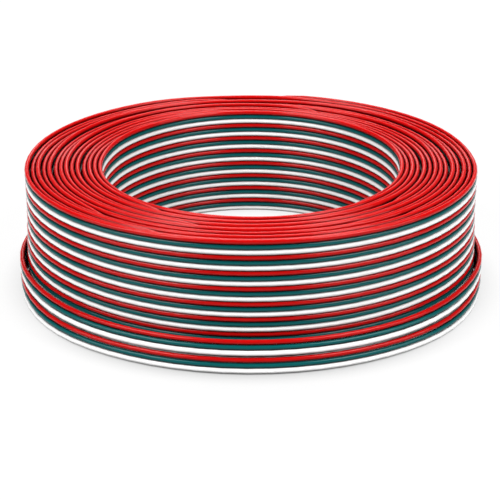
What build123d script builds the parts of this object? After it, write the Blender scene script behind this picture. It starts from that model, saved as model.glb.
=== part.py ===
# A coil of flat three-core cable lying on its side, with its axis upright.
# The cable stands on edge in the winding: red core above, green between, white below.
# Millimetres, Z up, origin on the floor at the middle of the coil, front towards -Y.

from build123d import *
from math import cos, radians, sin
import os

os.makedirs("parts", exist_ok=True)

# The cable: round cores side by side, joined by a narrow web.
core_dia = 1.6
web_width = 0.1
web_thickness = 0.4
core_pitch = core_dia + web_width
conductor_dia = 0.76
core_colours = ["white", "green", "red"]
cable_width = core_pitch * len(core_colours)

# The winding: rows one above the other, layers one outside the other.
row_count = 8
coil_radius = 78.8
coil_height = cable_width * row_count

# The layers are this thick together, and the hole lies nearer the front, where they are tight.
winding_thickness = 24.3
hole_radius = coil_radius - winding_thickness
hole_shift = 3.0

# The last two turns lie loose around the bottom rows, the lower one further out, and the cable
# ends in the upper one, close to the coil.
loose_row_count = 2
loose_step = 2.9
loose_flare = 1.6
loose_radius = coil_radius + loose_step
loose_height = cable_width * loose_row_count
end_gap_angle = 31
end_start_angle = 12
end_stand_off = 0.5
end_length = 8.0

# Furrows between the rows, and on top where the layers part, as shares of the way from outside to hole.
row_furrow_depth = 0.55
parting_depth = 1.4
parting_width = 1.6
parting_shares = [0.36, 0.72]
overrun = 2.0


def plane_at(angle, radius, height):
    """Upright plane through the coil's axis, with its origin at the given radius and height."""
    across = (cos(radians(angle)), sin(radians(angle)), 0)
    facing = (sin(radians(angle)), -cos(radians(angle)), 0)
    return Plane((radius * across[0], radius * across[1], height), across, facing)


def row_points(row, crest_radius, furrow_radius):
    """Points of one row's edge, from the furrow under it to its crest."""
    base = cable_width * row
    return [(furrow_radius, base), (crest_radius, base + cable_width / 2)]


# The turns: one ribbed body, with the hole and the furrows where the layers part cut into it.
outer_edge = [(0, 0)]
for row in range(loose_row_count):
    turn_radius = loose_radius + loose_flare * (loose_row_count - 1 - row)
    outer_edge += row_points(row, turn_radius, turn_radius - row_furrow_depth)
outer_edge.append((loose_radius - row_furrow_depth, loose_height))
for row in range(loose_row_count, row_count):
    outer_edge += row_points(row, coil_radius, coil_radius - row_furrow_depth)
outer_edge += [(coil_radius - row_furrow_depth, coil_height), (0, coil_height)]

hole_edge = [(0, -overrun), (hole_radius, -overrun)]
for row in range(row_count):
    hole_edge += row_points(row, hole_radius, hole_radius + row_furrow_depth)
hole_edge += [(hole_radius + row_furrow_depth, coil_height), (hole_radius, coil_height + overrun)]
hole_edge.append((0, coil_height + overrun))

with BuildPart() as cable_coil:
    with BuildSketch(Plane.XZ):
        with BuildLine():
            Polyline(*outer_edge, close=True)
        make_face()
    revolve(axis=Axis.Z)

    with BuildSketch(Plane.XZ.offset(hole_shift)):
        with BuildLine():
            Polyline(*hole_edge, close=True)
        make_face()
    revolve(axis=Axis((0, -hole_shift, 0), (0, 0, 1)), mode=Mode.SUBTRACT)

    for share in parting_shares:
        parting_shift = hole_shift * share
        parting_radius = coil_radius + (hole_radius - coil_radius) * share
        with BuildSketch(Plane.XZ.offset(parting_shift)):
            with BuildLine():
                Polyline(
                    (parting_radius - parting_width / 2, coil_height),
                    (parting_radius, coil_height - parting_depth),
                    (parting_radius + parting_width / 2, coil_height),
                    close=True,
                )
            make_face()
        revolve(axis=Axis((0, -parting_shift, 0), (0, 0, 1)), mode=Mode.SUBTRACT)

    # Room for the cable's end in the upper loose turn.
    with BuildSketch(plane_at(end_start_angle, coil_radius, loose_height - cable_width)):
        Rectangle(loose_step + overrun, cable_width, align=(Align.MIN, Align.MIN))
    revolve(axis=Axis.Z, revolution_arc=end_gap_angle, mode=Mode.SUBTRACT)

cable_coil.part.label = "cable_coil"
export_step(cable_coil.part, "parts/cable_coil.step")

# The cable's end, straight and cut square: three insulated cores, each with its stranded conductor.
for place, colour in enumerate(core_colours):
    core_height = loose_height - cable_width + core_pitch * (place + 0.5)
    core_plane = plane_at(end_start_angle, coil_radius + end_stand_off + core_dia / 2, core_height)

    with BuildPart() as core_end:
        with BuildSketch(core_plane):
            Circle(core_dia / 2)
            Rectangle(web_thickness, core_pitch)
            Circle(conductor_dia / 2, mode=Mode.SUBTRACT)
        extrude(amount=-end_length)
    core_end.part.label = f"{colour}_core_end"
    export_step(core_end.part, f"parts/{colour}_core_end.step")

    with BuildPart() as conductor:
        with BuildSketch(core_plane):
            Circle(conductor_dia / 2)
        extrude(amount=-end_length)
    conductor.part.label = f"{colour}_conductor"
    export_step(conductor.part, f"parts/{colour}_conductor.step")
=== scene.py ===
import bmesh
import bpy
from math import cos, degrees, exp, pi, radians, sin, tan
from mathutils import Euler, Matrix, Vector, noise


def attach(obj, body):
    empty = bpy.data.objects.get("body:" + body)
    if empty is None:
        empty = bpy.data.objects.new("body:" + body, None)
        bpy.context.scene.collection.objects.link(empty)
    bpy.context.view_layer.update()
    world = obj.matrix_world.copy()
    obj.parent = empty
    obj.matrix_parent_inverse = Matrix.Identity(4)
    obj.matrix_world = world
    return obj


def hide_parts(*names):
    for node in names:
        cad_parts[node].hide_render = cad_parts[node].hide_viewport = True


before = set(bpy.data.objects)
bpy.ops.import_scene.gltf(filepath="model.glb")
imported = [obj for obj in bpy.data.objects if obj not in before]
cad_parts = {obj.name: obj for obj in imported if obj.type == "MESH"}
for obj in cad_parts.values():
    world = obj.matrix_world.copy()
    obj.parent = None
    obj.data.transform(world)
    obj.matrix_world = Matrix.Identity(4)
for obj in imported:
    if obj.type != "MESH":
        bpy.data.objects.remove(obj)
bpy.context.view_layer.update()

# The winding
# One length of flat cable wound on edge on a drum, row beside row. It climbs one layer, crosses to
# the next and comes down again, and the last turns lie slumped around the foot of the coil.

mm = 0.001
core_dia = 1.6 * mm
core_pitch = 1.7 * mm
cable_width = 3 * core_pitch
row_count = 8
layer_count = 14
coil_radius = 78.8 * mm

# Each pair of layers changes rows at one place on the way up and one on the way down, in degrees
# round the coil, and the cable crosses between them on top.
row_changes = [(294, 246), (118, 118), (310, 262), (62, 62), (282, 234), (302, 254), (90, 90)]
crossing_width = 24

# The layers lie tight at the front and part at the sides and the back, most of all at a crossing.
slack_side = 4.6 * mm
slack_back = 2.9 * mm
parting_shares_left = [0.05, 0.05, 0.07, 0.14, 0.10, 0.05, 0.05, 0.05, 0.14, 0.06, 0.09, 0.06, 0.09]
parting_shares_right = [0.05, 0.05, 0.07, 0.13, 0.10, 0.06, 0.05, 0.05, 0.14, 0.06, 0.11, 0.06, 0.07]
crossing_room = 2.1 * mm
crossing_reach = 22

# No layer is quite even. Each unevenness has a size, a scale round the coil and a step by layer.
wobble_size = 0.04 * mm
wobble_scale = 2.2
wobble_step = 3.7
lean_size = 0.03
lean_scale = 1.3
lean_step = 2.9
lean_offset = 40

# Where they are loose, some layers settle: their rows stand a little aside in turn and sink. A span
# holds where a change starts and how far on it is complete.
settled_left = [0, 0.3, 0.1, 1, 0.2, 0.4, 0, 0.3, 1, 0, 0.7, 0.1, 0.8, 0]
settled_right = [0, 0.3, 0.1, 0.9, 0.1, 0.5, 0, 0.3, 1, 0, 0.8, 0.1, 0.4, 0]
settled_depth = 0.85 * mm
settled_aside = 0.1 * mm
settled_side_span = (0.2, 0.6)
settled_slack_span = (0.4, 0.5)

# The layers that haven't settled are unevenly high at the sides.
side_low_depth = 0.32 * mm
side_low_most = 0.68 * mm
side_low_swing = 0.7 * mm
side_low_scale = 1.6
side_low_step = 5.1

# Pressed together at the front, the layers bulge forwards there, and the inner ones and every second
# one lie lower. At the back the rows stand loosely on each other, and two layers in three lie low.
front_bulge = 0.4 * mm
bulge_rows = 3
inner_sink = 0.2 * mm
front_low = [1, 0, 1, 0, 1, 0.1, 1, 0, 1, 0.1, 1, 0, 0.9, 0]
front_low_depth = 0.48 * mm
back_lift = 0.4 * mm
back_low = [0, 1, 0.95, 0, 1, 0.95, 0, 1, 0.95, 0, 1, 0.9, 0, 0]
back_low_depth = 0.98 * mm
low_span = (0.05, 0.4)

# From the sides to the front the lowest rows stand further out than the upper ones. The four numbers
# say how near the front this starts, how far on it is complete, where it ends and over how far.
side_flare = 1.0 * mm
flare_rows = 5
flare_stretch = (-0.2, 0.2, 0.85, 0.5)

# Outside the last layer the cable goes round twice more: close to the coil at the back, and
# standing off it from the sides on. Angles are in degrees round the coil.
loose_radius = 80.07 * mm
loose_room = 1.9 * mm
loose_span = (-0.2, 0.6)
upper_overhang = 0.15 * mm
overhang_stretch = (-0.1, 0.25, 0.6, 0.4)
move_out = 55
step_up = 31
loose_end = 12
end_length = 7.8 * mm
end_points = 4

# At the front the loose turns slump outwards. The lower and the upper one have each a radius, a
# height and a lean in degrees there.
slumped_turns = [(85.8 * mm, 2.4 * mm, 21), (83.7 * mm, 7.4 * mm, 28)]
slump_starts = [0.22, 0.28]
slump_reach = 0.55

turn_points = 36


def ease(share):
    """Starts and ends a move gently."""
    share = min(1, max(0, share))
    return share * share * (3 - 2 * share)


def grows(value, start, reach):
    """0 up to a start and 1 from a reach beyond it."""
    return ease((value - start) / reach)


def comes_and_goes(value, start, reach, end, fall):
    """Grows from a start over a reach, and is gone again at an end, after a fall."""
    return grows(value, start, reach) * grows(-value, -end, fall)


def frontness(angle):
    """1 at the front of the coil, 0 at its sides and -1 at the back, at an angle in radians."""
    return -sin(angle)


def leftness(angle):
    """1 at the left of the coil and 0 at the right."""
    return 0.5 - 0.5 * cos(angle)


def uneven(angle, scale, lane):
    """Smooth unevenness round the coil, different in each lane."""
    return noise.noise((scale * cos(angle), scale * sin(angle), lane))


def next_pass(at, place):
    """The next angle along the cable, from at on, that lies at a place round the coil."""
    return at + (place - at) % 360


def winding_moves():
    """Where each move starts and ends: degrees along the whole cable, row and layer."""
    half = crossing_width / 2
    top = row_count - 1
    moves = [(row_changes[0][0] + crossing_width, 0, 0)]

    def move(place, start, end):
        begin = next_pass(moves[-1][0], place - half)
        moves.append((begin, *start))
        moves.append((begin + crossing_width, *end))

    for pair, (up_place, down_place) in enumerate(row_changes):
        up_layer = 2 * pair
        down_layer = up_layer + 1
        between = up_layer + 0.5
        for row in range(top):
            move(up_place, (row, up_layer), (row + 1, up_layer))
        if up_place == down_place:
            middle = next_pass(moves[-1][0], up_place - crossing_width) + crossing_width
            moves.append((middle - crossing_width, top, up_layer))
            moves.append((middle - half, top, between))
            moves.append((middle + half, top, between))
            moves.append((middle + crossing_width, top, down_layer))
        else:
            move((up_place + down_place) / 2, (top, up_layer), (top, down_layer))
        for row in range(top, 0, -1):
            move(down_place, (row, down_layer), (row - 1, down_layer))
        last = down_layer == layer_count - 1
        move(move_out if last else down_place - crossing_width, (0, down_layer), (0, down_layer + 1))
    move(step_up, (0, layer_count), (1, layer_count))
    moves.append((next_pass(moves[-1][0], loose_end), 1, layer_count))
    return moves


def slack_at(angle):
    """How much wider the layers stand at an angle in radians than they do at the front."""
    depth = sin(angle)
    slack_bend = (slack_back - 2 * slack_side) / 2
    return slack_side + slack_back / 2 * depth + slack_bend * depth * depth


def layer_radius(layer, angle):
    """Middle of a layer of turns at an angle in radians."""
    if layer == layer_count:
        return loose_radius + loose_room * grows(frontness(angle), *loose_span)
    partings = [0] * (layer_count - 1)
    for pair, (up_place, down_place) in enumerate(row_changes):
        if up_place == down_place:
            away = (degrees(angle) - up_place + 180) % 360 - 180
            partings[2 * pair] = crossing_room * exp(-((away / crossing_reach) ** 2))
    spare = slack_at(angle) - sum(partings)
    left = leftness(angle)
    parted = 0
    for place in range(layer, layer_count - 1):
        share = left * parting_shares_left[place] + (1 - left) * parting_shares_right[place]
        parted += partings[place] + spare * share
    wobble = wobble_size * uneven(angle, wobble_scale, wobble_step * layer)
    return coil_radius - core_dia * (layer_count - layer - 0.5) - parted + wobble


def layer_settling(layer, angle):
    """How far a layer has settled at an angle in radians, from 0 to 1."""
    if layer == layer_count:
        return 0
    left = grows(leftness(angle), *settled_side_span)
    loose = grows(slack_at(angle) / slack_side, *settled_slack_span)
    return loose * (left * settled_left[layer] + (1 - left) * settled_right[layer])


def layer_drop(layer, angle):
    """How much lower the top row of a layer lies at an angle in radians than the rows are high."""
    if layer == layer_count:
        return 0
    swing = side_low_swing * uneven(angle, side_low_scale, side_low_step * layer)
    side_drop = min(side_low_most, max(0, side_low_depth + swing))
    front_drop = front_low[layer] * front_low_depth + inner_sink * (1 - layer / layer_count)
    back_drop = back_low[layer] * back_low_depth
    front = grows(frontness(angle), *low_span)
    back = grows(-frontness(angle), *low_span)
    drop = front * front_drop + back * back_drop + (1 - front - back) * side_drop
    return drop - back_lift * ease(-frontness(angle))


def cable_place(angle, row, layer):
    """Middle of the flat cable, and the direction from its lower core to its upper one."""
    inner = int(layer)
    radius = layer_radius(inner, angle)
    settling = layer_settling(inner, angle)
    drop = layer_drop(inner, angle)
    if layer > inner:
        radius += (layer - inner) * (layer_radius(inner + 1, angle) - radius)
        settling += (layer - inner) * (layer_settling(inner + 1, angle) - settling)
        drop += (layer - inner) * (layer_drop(inner + 1, angle) - drop)
    sink = settling * settled_depth + (1 - settling) * drop
    height = (row + 0.5) * cable_width - sink * row / (row_count - 1)
    radius += settling * settled_aside * cos(pi * row)
    front = frontness(angle)
    if layer <= layer_count - 1:
        radius += front_bulge * ease(front) * ease(row / bulge_rows)
        flare = side_flare * comes_and_goes(front, *flare_stretch)
        radius += flare * ease((flare_rows - row) / flare_rows)
    lean = lean_size * uneven(angle, lean_scale, lean_offset + lean_step * layer)
    if layer == layer_count:
        radius += upper_overhang * comes_and_goes(front, *overhang_stretch) * row
        slump = grows(front, slump_starts[int(row)], slump_reach)
        slumped_radius, slumped_height, slumped_lean = slumped_turns[int(row)]
        radius += slump * (slumped_radius - radius)
        height += slump * (slumped_height - height)
        lean += slump * (tan(radians(-slumped_lean)) - lean)
    outward = Vector((cos(angle), sin(angle), 0))
    upward = (Vector((0, 0, 1)) + lean * outward).normalized()
    return radius * outward + Vector((0, 0, height)), upward


def cable_points(offset):
    """Control points of a line that runs beside the cable's middle, offset along its width."""
    step = 360 / turn_points
    # An order-3 spline runs inside points on a circle by this share.
    pull = 0.75 + 0.25 * cos(radians(step))
    moves = winding_moves()
    points = []
    at = moves[0][0]
    leg = 0
    while at < moves[-1][0]:
        while at > moves[leg + 1][0]:
            leg += 1
        begin, row, layer = moves[leg]
        end, next_row, next_layer = moves[leg + 1]
        share = ease((at - begin) / (end - begin))
        middle, upward = cable_place(
            radians(at), row + share * (next_row - row), layer + share * (next_layer - layer)
        )
        point = middle + offset * upward
        points.append(Vector((point.x / pull, point.y / pull, point.z)))
        at += step
    end_angle = radians(loose_end)
    middle, upward = cable_place(end_angle, 1, layer_count)
    onward = Vector((-sin(end_angle), cos(end_angle), 0))
    for part in range(end_points):
        points.append(middle + offset * upward + part / (end_points - 1) * end_length * onward)
    return points


# The insulated cores
# Soft PVC in three colours, extruded side by side round stranded copper and joined by a narrow web.
# Red lies uppermost in every turn, green in the middle and white below.

web_thickness = 0.4 * mm
section_corners = (54, 18, -18, -54)
# The cores' splines are shorter than the lines through their control points by about this share.
spline_share = 0.996

cloud_scale = 60
cloud_strength = 0.6
grain_scale = 900
noise_detail = 2
gloss_swing = 0.1
ripple_strength = 0.06
ripple_depth = 0.2 * mm
# The painted shade in the grooves looks this far for nearby cable, with this many samples.
painted_shade_reach = core_dia
painted_shade_samples = 8
pvc_ior = 1.53
pvc_specular = 0.15


class Wire:
    """A socket whose arithmetic adds Math nodes to its tree."""

    def __init__(self, tree, socket):
        self.tree = tree
        self.socket = socket

    def maths(self, operation, first, second):
        return add_node(self.tree, "ShaderNodeMath", {"operation": operation}, {0: first, 1: second})

    def __add__(self, other):
        return self.maths("ADD", self, other)

    __radd__ = __add__

    def __mul__(self, other):
        return self.maths("MULTIPLY", self, other)

    __rmul__ = __mul__

    def __sub__(self, other):
        return self.maths("SUBTRACT", self, other)

    def __rsub__(self, other):
        return self.maths("SUBTRACT", other, self)

    def __pow__(self, other):
        return self.maths("POWER", self, other)

    def __lt__(self, other):
        return self.maths("LESS_THAN", self, other)


def add_node(tree, kind, settings, inputs, output=0):
    """Adds a node with its settings, then its values or links, and returns one of its outputs."""
    node = tree.nodes.new(kind)
    for name, value in settings.items():
        setattr(node, name, value)
    for name, value in inputs.items():
        if isinstance(value, Wire):
            tree.links.new(value.socket, node.inputs[name])
        else:
            node.inputs[name].default_value = value
    return Wire(tree, node.outputs[output])


def mix_colours(tree, share, first, second, blend="MIX"):
    """Mixes two colours. The node's colour sockets have no names of their own, only numbers."""
    settings = {"data_type": "RGBA", "blend_type": blend}
    return add_node(tree, "ShaderNodeMix", settings, {0: share, 6: first, 7: second}, 2)


def noise_at(tree, place, scale):
    """A noise over the piece's own coordinates."""
    inputs = {"Vector": place, "Scale": scale, "Detail": noise_detail}
    return add_node(tree, "ShaderNodeTexNoise", {}, inputs)


def pvc(name, colour, deep_colour, roughness, painted_groove_shade):
    """Glossy extruded PVC, with faint clouds in its colour and gloss, and painted shade darkening its colour
    in the grooves.
    """
    material = bpy.data.materials.new(name)
    material.use_nodes = True
    tree = material.node_tree
    surface = tree.nodes["Principled BSDF"]
    place = add_node(tree, "ShaderNodeTexCoord", {}, {}, "Object")
    cloud = noise_at(tree, place, cloud_scale)
    grain = noise_at(tree, place, grain_scale)
    tint = mix_colours(tree, cloud * cloud_strength, colour, deep_colour)
    # Painted shade: ambient occlusion darkens the colour in the grooves between cores and between turns.
    openness = add_node(
        tree, "ShaderNodeAmbientOcclusion", {"samples": painted_shade_samples}, {"Distance": painted_shade_reach}, "AO"
    )
    shade_painted_tint = mix_colours(tree, 1, tint, openness ** painted_groove_shade, "MULTIPLY")
    tree.links.new(shade_painted_tint.socket, surface.inputs["Base Color"])
    gloss = roughness - gloss_swing / 2 + grain * gloss_swing
    tree.links.new(gloss.socket, surface.inputs["Roughness"])
    ripple = add_node(
        tree,
        "ShaderNodeBump",
        {},
        {"Height": grain, "Strength": ripple_strength, "Distance": ripple_depth},
    )
    tree.links.new(ripple.socket, surface.inputs["Normal"])
    surface.inputs["IOR"].default_value = pvc_ior
    surface.inputs["Specular IOR Level"].default_value = pvc_specular
    return material


def core_section(name, place):
    """Outline of one core across the cable: round, with half a web towards each core beside it."""
    section = bpy.data.curves.new(name, "CURVE")
    section.dimensions = "2D"
    outline = section.splines.new("POLY")
    half_web = web_thickness / 2
    core_radius = core_dia / 2
    web_above = core_pitch / 2 if place < 1 else core_radius
    web_below = core_pitch / 2 if place > -1 else core_radius
    corners = [(half_web, web_above)]
    for turned in section_corners:
        corners.append((core_radius * cos(radians(turned)), core_radius * sin(radians(turned))))
    corners.append((half_web, -web_below))
    corners += [(-x, y) for x, y in reversed(corners)]
    outline.points.add(len(corners) - 1)
    for point, (x, y) in zip(outline.points, corners):
        point.co = (x, y, 0, 1)
    outline.use_cyclic_u = True
    return bpy.data.objects.new(name, section)


def core(name, place, material):
    """One core along the whole cable, as a tube on its own spline, above or below the middle one."""
    line = bpy.data.curves.new(name, "CURVE")
    line.dimensions = "3D"
    line.twist_mode = "Z_UP"
    line.resolution_u = 2
    route = line.splines.new("NURBS")
    points = cable_points(place * core_pitch)
    route.points.add(len(points) - 1)
    for point, spot in zip(route.points, points):
        point.co = (*spot, 1)
    route.order_u = 3
    route.use_endpoint_u = True
    route.resolution_u = 2
    line.bevel_mode = "OBJECT"
    line.bevel_object = core_section(name + "_section", place)
    line.use_fill_caps = True
    line.materials.append(material)
    piece = bpy.data.objects.new(name, line)
    bpy.context.scene.collection.objects.link(piece)
    length = sum((b - a).length for a, b in zip(points, points[1:]))
    return piece, points, length


red_pvc = pvc("red_pvc", (0.5, 0.002, 0.002, 1), (0.455, 0.002, 0.002, 1), roughness=0.17, painted_groove_shade=1.3)
green_pvc = pvc("green_pvc", (0.002, 0.1, 0.103, 1), (0.001, 0.085, 0.09, 1), roughness=0.18, painted_groove_shade=3.2)
white_pvc = pvc("white_pvc", (0.88, 0.88, 0.875, 1), (0.86, 0.86, 0.86, 1), roughness=0.25, painted_groove_shade=0.8)

for colour, place, material in (("red", 1, red_pvc), ("green", 0, green_pvc), ("white", -1, white_pvc)):
    piece, points, length = core(f"{colour}_core", place, material)
    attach(piece, "root")
    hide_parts("cable_coil", f"{colour}_core_end")
    length * spline_share

# The conductors
# A bunch of fine bare copper strands in each core. They show only where the cable is cut square, and the cut
# leaves them bright; the gaps between the strands are painted dark, as shade.

strand_scale = 4500
strand_colour = (0.9, 0.5, 0.33, 1)
painted_gap_shade_colour = (0.3, 0.12, 0.06, 1)
strand_roughness = 0.25
strand_gap_roughness = 0.3
strand_strength = 0.5
strand_depth = 0.1 * mm

copper = bpy.data.materials.new("stranded_copper")
copper.use_nodes = True
copper_tree = copper.node_tree
copper_surface = copper_tree.nodes["Principled BSDF"]
copper_place = add_node(copper_tree, "ShaderNodeTexCoord", {}, {}, "Object")
strand = add_node(copper_tree, "ShaderNodeTexVoronoi", {}, {"Vector": copper_place, "Scale": strand_scale})
# Painted shade: the colour darkens from each strand's middle towards the gaps between the strands.
copper_and_gap_shade = mix_colours(copper_tree, strand, strand_colour, painted_gap_shade_colour)
copper_tree.links.new(copper_and_gap_shade.socket, copper_surface.inputs["Base Color"])
copper_gloss = strand_roughness + strand * strand_gap_roughness
copper_tree.links.new(copper_gloss.socket, copper_surface.inputs["Roughness"])
strand_ends = add_node(
    copper_tree,
    "ShaderNodeBump",
    {},
    {"Height": 1 - strand, "Strength": strand_strength, "Distance": strand_depth},
)
copper_tree.links.new(strand_ends.socket, copper_surface.inputs["Normal"])
copper_surface.inputs["Metallic"].default_value = 1
for colour in ("red", "green", "white"):
    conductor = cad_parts[f"{colour}_conductor"]
    conductor.data.materials.clear()
    conductor.data.materials.append(copper)

# The floor
# A plain white sheet under the coil that runs into a white backdrop. Seen directly or mirrored it glows, more
# so further off; a painted shadow dims that glow around and under the coil, besides the soft shadow the lamps
# cast on it.

floor_reach = 4
paper_lit_colour = (0.3, 0.3, 0.3, 1)
paper_seen_colour = (0.1, 0.1, 0.1, 1)
paper_roughness = 0.9

# The glow rises from the coil outwards, and is a little stronger in the hole.
glow_start = 90 * mm
glow_end = 420 * mm
near_glow = 0.85
far_glow = 0.95
hole_glow = 0.05

# A painted shadow, from ambient occlusion, dims the glow where the coil stands: full in front of it and under
# it, and fainter elsewhere.
shadow_reach = 8 * mm
shadow_samples = 16
shadow_front = -87 * mm
shadow_back = -55 * mm
faint_shadow = 0.25
shadow_ring = 80 * mm
shadow_hole = 57 * mm

floor_mesh = bpy.data.meshes.new("floor")
floor_shape = bmesh.new()
bmesh.ops.create_grid(floor_shape, x_segments=1, y_segments=1, size=floor_reach)
floor_shape.to_mesh(floor_mesh)
floor_shape.free()
floor = bpy.data.objects.new("floor", floor_mesh)
bpy.context.scene.collection.objects.link(floor)

paper = bpy.data.materials.new("white_paper")
paper.use_nodes = True
paper_tree = paper.node_tree
paper_surface = paper_tree.nodes["Principled BSDF"]
paper_by_camera = add_node(paper_tree, "ShaderNodeLightPath", {}, {}, "Is Camera Ray")
paper_mirrored = add_node(paper_tree, "ShaderNodeLightPath", {}, {}, "Is Glossy Ray")
paper_seen_through = add_node(paper_tree, "ShaderNodeLightPath", {}, {}, "Is Transmission Ray")
paper_seen = paper_by_camera + paper_mirrored + paper_seen_through
paper_tint = mix_colours(paper_tree, paper_seen, paper_lit_colour, paper_seen_colour)
paper_tree.links.new(paper_tint.socket, paper_surface.inputs["Base Color"])
paper_place = add_node(paper_tree, "ShaderNodeTexCoord", {}, {}, "Object")
from_middle = add_node(paper_tree, "ShaderNodeVectorMath", {"operation": "LENGTH"}, {0: paper_place}, 1)
glow = add_node(
    paper_tree,
    "ShaderNodeMapRange",
    {"interpolation_type": "SMOOTHSTEP"},
    {
        "Value": from_middle,
        "From Min": glow_start,
        "From Max": glow_end,
        "To Min": near_glow,
        "To Max": far_glow,
    },
)
closed_in = 1 - add_node(
    paper_tree, "ShaderNodeAmbientOcclusion", {"samples": shadow_samples}, {"Distance": shadow_reach}, "AO"
)
forward = add_node(paper_tree, "ShaderNodeSeparateXYZ", {}, {0: paper_place}, "Y")
open_shadow = add_node(
    paper_tree,
    "ShaderNodeMapRange",
    {},
    {
        "Value": forward,
        "From Min": shadow_front,
        "From Max": shadow_back,
        "To Min": 1,
        "To Max": faint_shadow,
    },
)
in_hole = from_middle < shadow_hole
under_coil = (from_middle < shadow_ring) - in_hole
shadow = under_coil.maths("MAXIMUM", open_shadow, under_coil)
# The glow carries the painted shadow: it is dimmed where ambient occlusion finds the coil close.
paper_light = paper_seen * (glow + in_hole * hole_glow) * (1 - closed_in * shadow)
paper_tree.links.new(paper_light.socket, paper_surface.inputs["Emission Color"])
paper_surface.inputs["Emission Strength"].default_value = 1
paper_surface.inputs["Roughness"].default_value = paper_roughness
paper_surface.inputs["Specular IOR Level"].default_value = 0
floor_mesh.materials.append(paper)

# The studio
# A white tent, as for a catalogue picture: a soft lamp high at each front corner, a weaker one low at
# each side, one above behind, and a narrow one far behind for the gloss lines.

tent_colour = (1, 1, 1, 1)
tent_strength = 0.14
tent_seen_strength = 1
lamp_aim = Vector((0, 0, 20 * mm))

world = bpy.data.worlds.new("tent")
bpy.context.scene.world = world
world.use_nodes = True
tent_tree = world.node_tree
tent_walls = []
for strength in (tent_strength, tent_seen_strength):
    inputs = {"Color": tent_colour, "Strength": strength}
    tent_walls.append(add_node(tent_tree, "ShaderNodeBackground", {}, inputs))
tent_seen = add_node(tent_tree, "ShaderNodeLightPath", {}, {}, "Is Camera Ray")
tent = add_node(tent_tree, "ShaderNodeMixShader", {}, {0: tent_seen, 1: tent_walls[0], 2: tent_walls[1]})
tent_tree.links.new(tent.socket, tent_tree.nodes["World Output"].inputs["Surface"])


def lamp(name, width, height, power, place):
    """A soft lamp that faces the coil, with its sizes and place in metres and its power in watts."""
    light = bpy.data.lights.new(name, "AREA")
    light.shape = "RECTANGLE"
    light.size = width
    light.size_y = height
    light.energy = power
    piece = bpy.data.objects.new(name, light)
    piece.location = place
    piece.rotation_euler = (lamp_aim - Vector(place)).to_track_quat("-Z", "Y").to_euler()
    bpy.context.scene.collection.objects.link(piece)


for side, across in (("left", -1), ("right", 1)):
    lamp(f"{side}_key_lamp", width=0.35, height=0.35, power=3.6, place=(0.4 * across, -0.3, 0.5))
for side, across in (("left", -1), ("right", 1)):
    lamp(f"{side}_lamp", width=0.35, height=0.35, power=1.8, place=(0.8 * across, -0.25, 0.32))
lamp("top_lamp", width=0.4, height=0.4, power=4.3, place=(0, 0.35, 0.65))
lamp("back_lamp", width=0.5, height=0.15, power=0.55, place=(0, 0.95, 0.42))

# The camera
# Stands six coil radii from the middle of the coil's top and about eighteen degrees above it, and
# is tilted down a little further.

coil_top = row_count * cable_width
camera_distance = 6 * coil_radius
camera_aside = -0.33 * mm
camera_height_angle = radians(18.48)
camera_pitch = radians(22.5)
camera_near = 10 * mm
focal_pixels = 1341.8
frame_pixels = 500

lens = bpy.data.cameras.new("camera")
lens.lens = lens.sensor_width * focal_pixels / frame_pixels
lens.clip_start = camera_near
camera = bpy.data.objects.new("camera", lens)
camera.location = (
    camera_aside,
    -camera_distance * cos(camera_height_angle),
    coil_top + camera_distance * sin(camera_height_angle),
)
camera.rotation_euler = Euler((pi / 2 - camera_pitch, 0, 0))
bpy.context.scene.collection.objects.link(camera)
bpy.context.scene.camera = camera
bpy.context.scene.view_settings.view_transform = "Standard"
